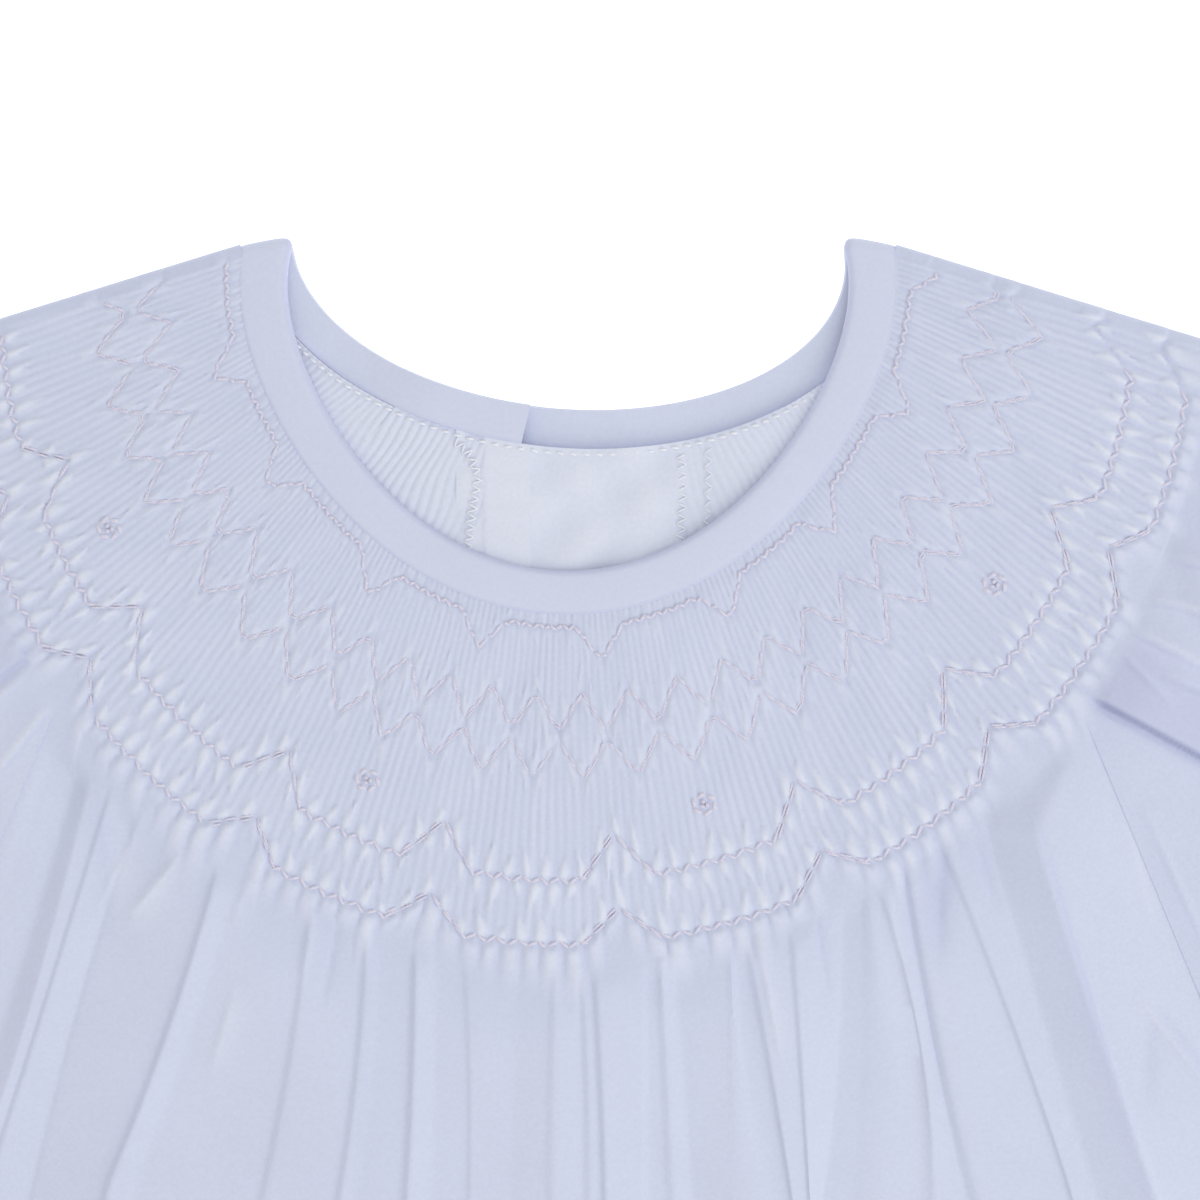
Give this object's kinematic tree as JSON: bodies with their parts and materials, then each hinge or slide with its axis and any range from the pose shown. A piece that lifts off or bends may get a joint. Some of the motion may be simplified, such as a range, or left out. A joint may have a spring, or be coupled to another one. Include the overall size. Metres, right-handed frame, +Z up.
{
  "type": "infant bishop dress",
  "caption": "Infant bishop dress laid flat: bias neckband, smocked round yoke, raglan puff sleeves, flared skirt, back opening with buttons.",
  "frame": {"origin": "on the surface that the dress lies on, at the middle of the body at underarm level, on the flat underside of the right back half", "axes": "+X to the right as the front is seen, +Y toward the neck, +Z up out of the surface"},
  "size_m": [0.4558, 0.431, 0.0085],
  "materials": {
    "batiste": "soft matte white cotton batiste",
    "button": "satin white"
  },
  "bodies": {
    "root": {"front": "batiste", "back_left": "batiste", "back_right": "batiste", "sleeve_left": "batiste", "sleeve_right": "batiste", "cuff_left": "batiste", "cuff_right": "batiste", "neckband": "batiste", "button_1": "button", "button_2": "button", "button_3": "button"}
  },
  "joints": []
}
